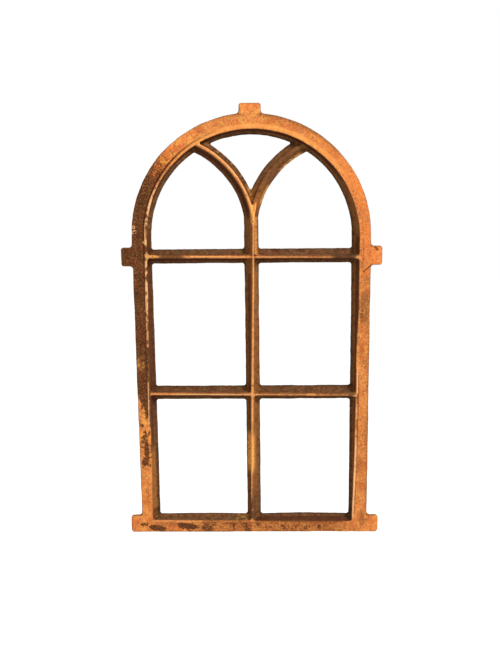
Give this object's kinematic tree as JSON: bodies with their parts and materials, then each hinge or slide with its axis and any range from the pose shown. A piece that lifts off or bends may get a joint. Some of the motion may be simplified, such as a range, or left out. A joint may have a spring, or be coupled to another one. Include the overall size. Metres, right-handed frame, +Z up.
{
  "type": "barn window frame",
  "caption": "Round-headed barn window frame cast in one piece of iron, with pointed tracery lights, T-section glazing bars and wall lugs, unglazed and rusted, with the ridge broken off one tracery bar.",
  "frame": {"origin": "on the rear bearing face of the outer band, midway along the bottom rail, 10 mm above the bottom edge", "axes": "+Z up, -Y out of the front with the raised glazing ridges, +X to the right seen from the front"},
  "size_m": [0.558, 0.028, 0.95],
  "materials": {
    "rusted_cast_iron": "sand cast, rusted orange over a dark brown skin, worn bright along the ridges"
  },
  "bodies": {
    "root": {"window_casting": "rusted_cast_iron"}
  },
  "joints": []
}
